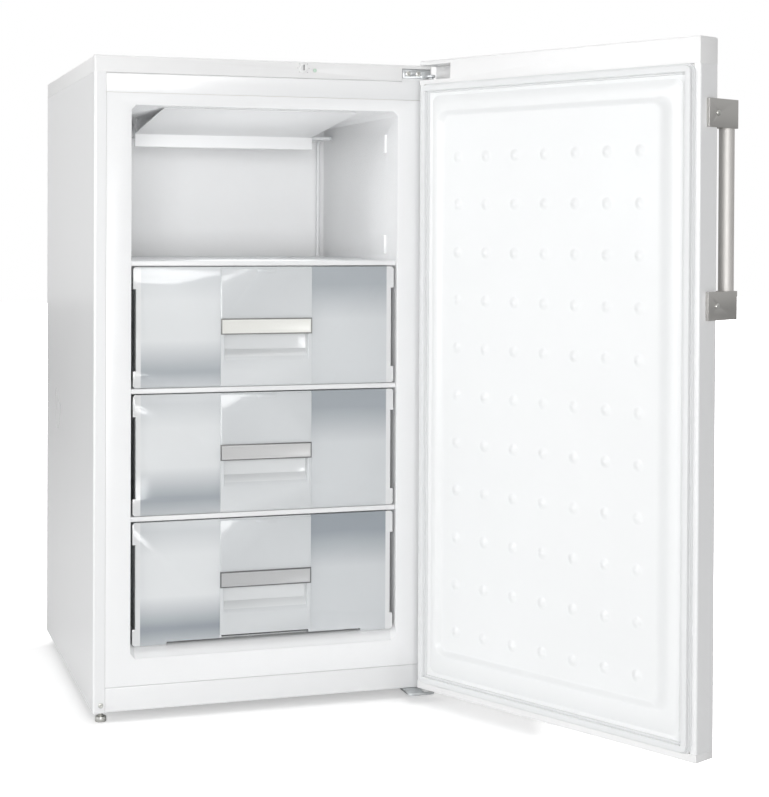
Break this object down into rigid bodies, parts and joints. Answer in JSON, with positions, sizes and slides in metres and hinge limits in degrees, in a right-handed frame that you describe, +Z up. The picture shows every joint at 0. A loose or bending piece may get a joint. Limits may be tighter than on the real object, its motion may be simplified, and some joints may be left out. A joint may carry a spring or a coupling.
{
  "type": "upright freezer",
  "caption": "Free-standing white upright freezer: door on the right with a steel bar handle, open top compartment over clear pull-out drawers, wire condenser and compressor behind.",
  "frame": {"origin": "centre of the rear left foot's underside, on the floor", "axes": "+Z up out of the top face; +Y from the door side to the back, along the longest extent with the door open; +X to the right as seen from the front"},
  "size_m": [0.8316, 1.0906, 1.026],
  "materials": {
    "white_paint": "gloss enamel",
    "white_plastic": "semi-gloss",
    "liner_plastic": "satin, vacuum formed",
    "clear_plastic": "clear",
    "grip_plastic": "satin",
    "grey_plastic": "satin",
    "indicator": "clear, unlit",
    "zinc_steel": "zinc plated",
    "white_aluminium": "white coated",
    "foam": "rigid foam",
    "black_rubber": "matte",
    "white_rubber": "soft",
    "black_paint": "satin",
    "black_plastic": "satin",
    "copper": "drawn",
    "white_foot": "satin",
    "bracket_metal": "satin",
    "brushed_steel": "brushed lengthwise"
  },
  "bodies": {
    "cabinet": {"left_side_panel": "white_paint", "right_side_panel": "white_paint", "top_cap": "white_plastic", "control_fascia": "white_plastic", "indicator_lens": "indicator", "thermostat_body": "grey_plastic", "header_rail": "white_paint", "top_panel": "zinc_steel", "plinth_rail": "white_paint", "flange_screws": "zinc_steel", "inner_liner": "liner_plastic", "insulation_foam": "foam", "ceiling_evaporator_plate": "white_aluminium", "ceiling_cover": "liner_plastic", "evaporator_tube": "white_aluminium", "machine_bay_panel": "zinc_steel", "back_panel": "zinc_steel", "base_tray": "zinc_steel", "compressor_grommets": "black_rubber", "compressor": "black_paint", "relay_cover": "black_plastic", "condenser_tube": "black_paint", "condenser_wires": "black_paint", "condenser_brackets": "black_plastic", "filter_drier": "copper", "discharge_line": "copper", "liquid_line": "copper", "suction_line": "copper", "rear_left_foot": "white_foot", "rear_right_foot": "white_foot", "foot_nuts": "zinc_steel", "upper_hinge_bracket": "zinc_steel", "lower_hinge_bracket": "zinc_steel", "hinge_screws": "zinc_steel", "shelf_1_plate": "white_aluminium", "shelf_1_trim": "liner_plastic", "shelf_2_plate": "white_aluminium", "shelf_2_trim": "liner_plastic", "shelf_3_plate": "white_aluminium", "shelf_3_trim": "liner_plastic"},
    "door": {"door_skin": "white_paint", "door_top_cap": "white_plastic", "door_bottom_cap": "white_plastic", "door_liner": "liner_plastic", "door_foam": "foam", "door_gasket": "white_rubber", "hinge_bushings": "grey_plastic", "handle_lower_bracket": "bracket_metal", "handle_upper_bracket": "bracket_metal", "handle_tube": "brushed_steel", "handle_screws": "zinc_steel"},
    "drawer_1": {"drawer_1_basket": "clear_plastic", "drawer_1_handle": "grip_plastic"},
    "drawer_2": {"drawer_2_basket": "clear_plastic", "drawer_2_handle": "grip_plastic"},
    "drawer_3": {"drawer_3_basket": "clear_plastic", "drawer_3_handle": "grip_plastic"},
    "dial": {"thermostat_dial": "grey_plastic"},
    "left_levelling_foot": {"front_left_foot": "white_foot"},
    "right_levelling_foot": {"front_right_foot": "white_foot"}
  },
  "joints": [
    {"name": "door_hinge", "type": "hinge", "parent": "cabinet", "child": "door", "pos_m": [0.513, -0.56, 0.016], "axis": [0, 0, 1], "range_deg": [-116, 14]},
    {"name": "drawer_1_slide", "type": "slide", "parent": "cabinet", "child": "drawer_1", "axis": [0, -1, 0], "range_m": [0, 0.32]},
    {"name": "drawer_2_slide", "type": "slide", "parent": "cabinet", "child": "drawer_2", "axis": [0, -1, 0], "range_m": [0, 0.32]},
    {"name": "drawer_3_slide", "type": "slide", "parent": "cabinet", "child": "drawer_3", "axis": [0, -1, 0], "range_m": [0, 0.22]},
    {"name": "thermostat_turn", "type": "hinge", "parent": "cabinet", "child": "dial", "pos_m": [0.308, -0.5365, 1.0105], "axis": [0, -1, 0], "range_deg": [-135, 135]},
    {"name": "front_left_foot_screw", "type": "slide", "parent": "cabinet", "child": "left_levelling_foot", "axis": [0, 0, -1], "range_m": [0, 0.01]},
    {"name": "front_right_foot_screw", "type": "slide", "parent": "cabinet", "child": "right_levelling_foot", "axis": [0, 0, -1], "range_m": [0, 0.01]}
  ]
}
